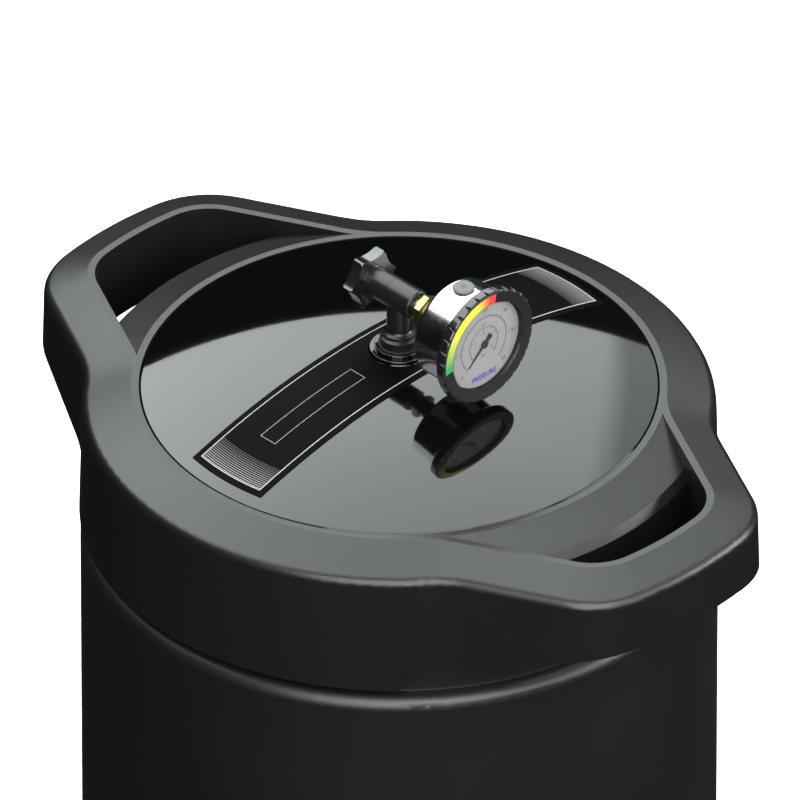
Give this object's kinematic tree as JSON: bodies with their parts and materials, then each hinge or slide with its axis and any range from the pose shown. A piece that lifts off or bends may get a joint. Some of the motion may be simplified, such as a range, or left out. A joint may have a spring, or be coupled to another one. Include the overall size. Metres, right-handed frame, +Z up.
{
  "type": "cartridge filter",
  "caption": "Pool cartridge filter: round black tank, screw-on lock ring with loop handles, domed lid with pressure gauge and air bleed, pleated cartridge inside.",
  "frame": {"origin": "on the floor, under the tank's axis", "axes": "+Z up along the tank's axis; +X through the lock ring's handles and out of the gauge's face; +Y out of the inlet port"},
  "size_m": [0.4226, 0.464, 0.6858],
  "materials": {
    "tank_plastic": "moulded glass-filled plastic, fine satin grain",
    "ring_plastic": "moulded plastic, satin, fine grain",
    "lid_plastic": "high-gloss black moulding",
    "label_film": "printed film with a fine white outline",
    "fitting_plastic": "moulded black plastic",
    "seal_rubber": "soft black rubber",
    "grey_rubber": "grey rubber plug",
    "brass_fitting": "machined brass",
    "bourdon_brass": "drawn tube",
    "steel_case": "polished drawn steel",
    "dial_face": "printed white dial",
    "pointer_black": "black stamped pointer",
    "clear_window": "clear moulded window",
    "marker_plastic": "black ring with a printed colour band",
    "slip_plastic": "low-friction natural plastic",
    "pipe_plastic": "black pressure pipe plastic",
    "white_moulding": "white moulded plastic",
    "cap_blue": "cast blue urethane",
    "pleat_fabric": "white spun-bonded polyester"
  },
  "bodies": {
    "tank": {"tank_shell": "tank_plastic", "base_stand": "tank_plastic", "outlet_elbow": "white_moulding", "outlet_wall_seal": "seal_rubber", "inlet_diffuser": "white_moulding"},
    "lid": {"lid_shell": "lid_plastic", "lid_seal": "seal_rubber", "lid_label": "label_film", "bleed_tee": "fitting_plastic", "stem_seal": "seal_rubber", "stem_lock_nut": "fitting_plastic", "air_screen": "white_moulding", "gauge_socket": "brass_fitting", "gauge_case": "steel_case", "gauge_plug": "grey_rubber", "bourdon_tube": "bourdon_brass", "gauge_movement": "bourdon_brass", "dial": "dial_face", "gauge_window": "clear_window"},
    "pointer": {"gauge_pointer": "pointer_black"},
    "marker": {"marker_ring": "marker_plastic"},
    "bleed_pad": {"bleed_pad": "seal_rubber"},
    "bleed_knob": {"bleed_knob": "fitting_plastic"},
    "glide_ring": {"glide_ring": "slip_plastic"},
    "lock_ring": {"lock_ring": "ring_plastic"},
    "cartridge": {"pleat_media": "pleat_fabric", "cartridge_core": "white_moulding", "top_end_cap": "cap_blue", "bottom_end_cap": "cap_blue", "pleat_bands": "white_moulding", "cartridge_seal": "seal_rubber"},
    "drain_seal": {"drain_seal": "seal_rubber"},
    "drain_plug": {"drain_plug": "fitting_plastic"},
    "inlet_tail": {"inlet_tail": "pipe_plastic", "inlet_tail_seal": "seal_rubber"},
    "inlet_nut": {"inlet_union_nut": "pipe_plastic"},
    "outlet_tail": {"outlet_tail": "pipe_plastic", "outlet_tail_seal": "seal_rubber"},
    "outlet_nut": {"outlet_union_nut": "pipe_plastic"}
  },
  "joints": [
    {"name": "lid_lift", "type": "slide", "parent": "tank", "child": "lid", "axis": [0, 0, 1], "range_m": [0, 1]},
    {"name": "cartridge_lift", "type": "slide", "parent": "tank", "child": "cartridge", "axis": [0, 0, 1], "range_m": [0, 0.5]},
    {"name": "ring_rise", "type": "slide", "parent": "lid", "child": "glide_ring", "axis": [0, 0, 1], "range_m": [0, 0.00302]},
    {"name": "ring_turn", "type": "hinge", "parent": "glide_ring", "child": "lock_ring", "pos_m": [0, 0, 0.6], "axis": [0, 0, 1], "range_deg": [0, 45]},
    {"name": "pointer_turn", "type": "hinge", "parent": "lid", "child": "pointer", "pos_m": [0.0585, 0, 0.6545], "axis": [-1, 0, 0], "range_deg": [0, 270], "stiffness_Nm_per_rad": 0.00002, "springref_deg": -22.92},
    {"name": "marker_turn", "type": "hinge", "parent": "lid", "child": "marker", "pos_m": [0.058, 0, 0.6545], "axis": [1, 0, 0], "continuous": true},
    {"name": "bleed_travel", "type": "slide", "parent": "lid", "child": "bleed_pad", "axis": [-1, 0, 0], "range_m": [0, 0.00302]},
    {"name": "bleed_turn", "type": "hinge", "parent": "bleed_pad", "child": "bleed_knob", "pos_m": [-0.0212, 0, 0.6545], "axis": [-1, 0, 0], "range_deg": [0, 720]},
    {"name": "drain_travel", "type": "slide", "parent": "tank", "child": "drain_seal", "axis": [1, 0, 0], "range_m": [0, 0.00902]},
    {"name": "drain_turn", "type": "hinge", "parent": "drain_seal", "child": "drain_plug", "pos_m": [0.176, 0, 0.066], "axis": [1, 0, 0], "range_deg": [0, 720]},
    {"name": "inlet_tail_travel", "type": "slide", "parent": "tank", "child": "inlet_tail", "axis": [0, 1, 0], "range_m": [0, 0.01202]},
    {"name": "inlet_nut_turn", "type": "hinge", "parent": "inlet_tail", "child": "inlet_nut", "pos_m": [0, 0.19, 0.1], "axis": [0, 1, 0], "range_deg": [0, 720]},
    {"name": "outlet_tail_travel", "type": "slide", "parent": "tank", "child": "outlet_tail", "axis": [0, -1, 0], "range_m": [0, 0.01202]},
    {"name": "outlet_nut_turn", "type": "hinge", "parent": "outlet_tail", "child": "outlet_nut", "pos_m": [0, -0.19, 0.1], "axis": [0, -1, 0], "range_deg": [0, 720]}
  ],
  "couplings": [
    {"joint": "cartridge_lift", "follows": "lid_lift", "ratio": 0.5},
    {"joint": "ring_rise", "follows": "ring_turn", "m_per_rad": 0.0038197},
    {"joint": "bleed_travel", "follows": "bleed_turn", "m_per_rad": 0.00023873},
    {"joint": "drain_travel", "follows": "drain_turn", "m_per_rad": 0.0007162},
    {"joint": "inlet_tail_travel", "follows": "inlet_nut_turn", "m_per_rad": 0.00095493},
    {"joint": "outlet_tail_travel", "follows": "outlet_nut_turn", "m_per_rad": 0.00095493}
  ]
}
